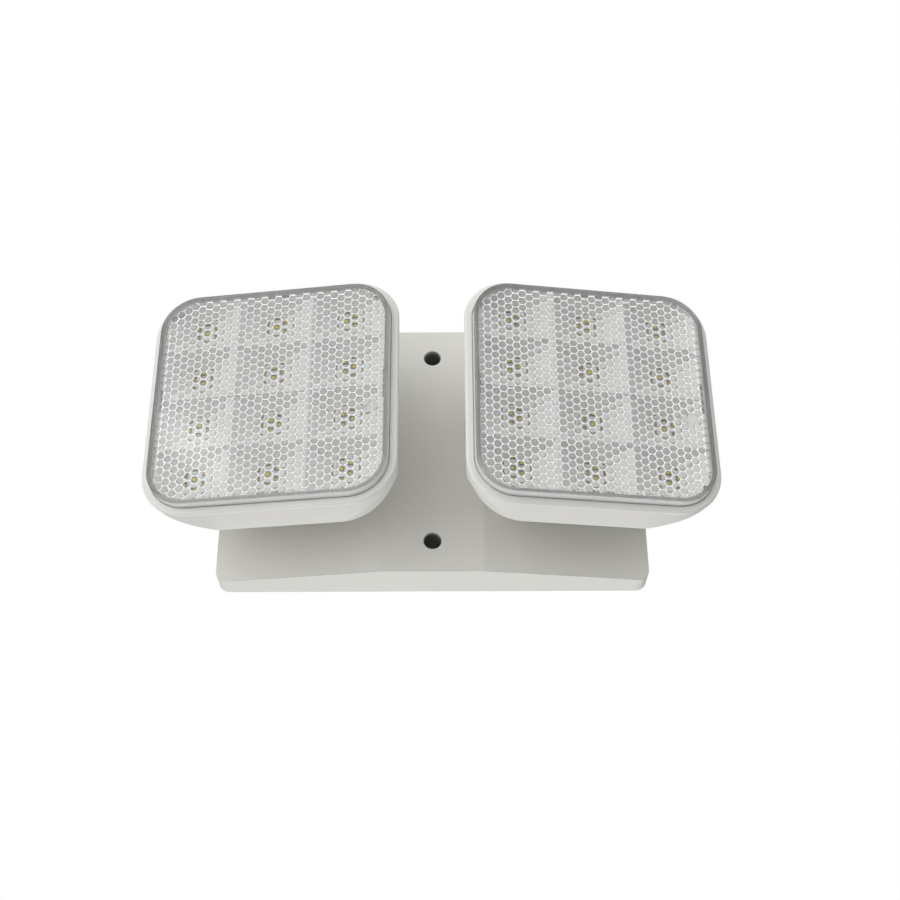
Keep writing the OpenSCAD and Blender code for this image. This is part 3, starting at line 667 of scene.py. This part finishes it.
def make_wave_washer(name, side):
    """Pressed ring of flat spring steel, with waves."""
    sheet = Sheet()
    swing = (WAVE_TOTAL - WAVE_T) / 2
    section = [(WAVE_IN, -WAVE_T / 2), (WAVE_IN, WAVE_T / 2), (WAVE_OUT, WAVE_T / 2), (WAVE_OUT, -WAVE_T / 2)]
    for e in range(4):
        points, normals, faces = [], [], []
        for k in range(WAVE_STEPS):
            a = 2 * math.pi * k / WAVE_STEPS
            z = WAVE_Z + swing * math.cos(WAVES * a)
            slope = -WAVES * swing * math.sin(WAVES * a) / ((WAVE_IN + WAVE_OUT) / 2)
            radial = Vector((math.cos(a), math.sin(a), 0))
            up = Vector((math.sin(a) * slope, -math.cos(a) * slope, 1)).normalized()
            for r, dz in (section[e], section[(e + 1) % 4]):
                points.append((r * math.cos(a), r * math.sin(a), z + dz))
                normals.append((-radial, up, radial, -up)[e])
            here, after = 2 * k, 2 * ((k + 1) % WAVE_STEPS)
            faces.append((here, after, after + 1, here + 1))
        sheet.add(points, normals, faces)
    return sheet.make(name, wing_matrix(side), [m_spring])


for side_name, side in SIDES.items():
    lens = make_lens(f"{side_name}_honeycomb_lens", side)
    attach(lens, f"{side_name}_head")
    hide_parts(f"{side_name}_lens")
    leds = make_leds(f"{side_name}_led_packages", side)
    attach(leds, f"{side_name}_head")
    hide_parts(f"{side_name}_leds")
    wave = make_wave_washer(f"{side_name}_spring_washer", side)
    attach(wave, f"{side_name}_swivel")
    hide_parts(f"{side_name}_wave_washer")


# Floor, far below, in metres, and the light of the room

FLOOR_HALF, FLOOR_Z, FLOOR_GLOW = 12.0, -0.55, 0.65


def make_stage():
    """Pale floor, a share of whose tone is its own glow to the eye."""
    mesh = bpy.data.meshes.new("floor")
    corners = [(sx * FLOOR_HALF, sy * FLOOR_HALF, FLOOR_Z) for sx, sy in ((-1, -1), (1, -1), (1, 1), (-1, 1))]
    mesh.from_pydata(corners, [], [(0, 1, 2, 3)])
    floor = bpy.data.objects.new("floor", mesh)
    bpy.context.scene.collection.objects.link(floor)
    mat, n = new_material("floor")
    bsdf = n.node("ShaderNodeBsdfPrincipled")
    base = n.mix(n.noise(3.0), (0.86, 0.86, 0.855, 1), (0.88, 0.88, 0.875, 1))
    n.set(bsdf, Base_Color=base, Roughness=0.9, Specular_IOR_Level=0.1)
    pale = n.node("ShaderNodeEmission")
    n.set(pale, Color=(1.0, 1.0, 0.995, 1))
    path = n.node("ShaderNodeLightPath")
    n.out(n.blend(n.math("MULTIPLY", path.outputs["Is Camera Ray"], FLOOR_GLOW), bsdf, pale))
    mesh.materials.append(mat)
    floor.visible_shadow = floor.visible_diffuse = floor.visible_glossy = floor.visible_transmission = False


# Small lamp: its direction, the way along it, its level, and its spread both ways
KEY = Vector((-0.414, -0.776, 0.475)).normalized()
KEY_ALONG = KEY.cross(Vector((0.75, 0.0, 0.65))).normalized()
KEY_LEVEL, KEY_LONG, KEY_SHORT = 3.0, 0.032, 0.015
# Soft lamps of the room: direction, tightness and level; and the level where none reaches
SOFT_LAMPS = [
    ((-1, -1, 0), 5.0, 2.2),
    ((-1, -1, 1), 5.0, 0.8),
    ((1, -1, 1), 5.0, 1.4),
    ((0, 0.5, -1), 12.0, 5.2),
]
ROOM_LEVEL = 0.02


def make_world():
    """Soft lamps all round, and a small one that shows as a streak on a lens; white to the eye."""
    world = bpy.data.worlds.new("room")
    bpy.context.scene.world = world
    world.use_nodes = True
    tree = world.node_tree
    tree.nodes.clear()
    n = Net(tree)
    way = n.node("ShaderNodeTexCoord").outputs["Generated"]

    level = ROOM_LEVEL
    for direction, tight, peak in SOFT_LAMPS:
        off = n.math("SUBTRACT", n.dot(way, Vector(direction).normalized()), 1.0)
        lobe = n.math("EXPONENT", n.math("MULTIPLY", off, tight))
        level = n.math("ADD", n.math("MULTIPLY", lobe, peak), level)
    u = n.math("DIVIDE", n.dot(way, KEY_ALONG), KEY_LONG)
    v = n.math("DIVIDE", n.dot(way, KEY.cross(KEY_ALONG)), KEY_SHORT)
    spread = n.math("ADD", n.math("MULTIPLY", u, u), n.math("MULTIPLY", v, v))
    streak = n.math("EXPONENT", n.math("MULTIPLY", spread, -1.0))
    streak = n.math("MULTIPLY", streak, n.math("GREATER_THAN", n.dot(way, KEY), 0.0))
    level = n.math("ADD", level, n.math("MULTIPLY", streak, KEY_LEVEL))
    room = n.node("ShaderNodeBackground")
    n.set(room, Color=(1.0, 0.998, 0.99, 1), Strength=level)
    white = n.node("ShaderNodeBackground")
    n.set(white, Color=(1, 1, 1, 1), Strength=1.0)
    path = n.node("ShaderNodeLightPath")
    seen = n.math("MAXIMUM", path.outputs["Is Camera Ray"], path.outputs["Is Transmission Ray"])
    out = n.node("ShaderNodeOutputWorld")
    n.set(out, Surface=n.blend(seen, room, white))


make_stage()
make_world()


# Camera, fitted to the edges of the photographed object: its place, the way it looks and its upright, and
# its focal length in pixels of the photograph

CAMERA_AT = Vector((2.7491, -523.0008, -275.6941)) * MM
CAMERA_AHEAD = Vector((0.0074349, 0.8782576, 0.4781300))
CAMERA_UP = Vector((0.0031621, -0.4781614, 0.8782663))
FOCAL_PIXELS, PHOTO_PIXELS, SENSOR = 1430.82, 900, 36.0


def make_camera():
    data = bpy.data.cameras.new("camera")
    data.sensor_width = SENSOR
    data.sensor_fit = "HORIZONTAL"
    data.lens = FOCAL_PIXELS / PHOTO_PIXELS * SENSOR
    data.clip_start, data.clip_end = 0.01, 50
    cam = bpy.data.objects.new("camera", data)
    bpy.context.scene.collection.objects.link(cam)
    m = Matrix((CAMERA_AHEAD.cross(CAMERA_UP), CAMERA_UP, -CAMERA_AHEAD)).transposed().to_4x4()
    m.translation = CAMERA_AT
    cam.matrix_world = m
    bpy.context.scene.camera = cam


make_camera()
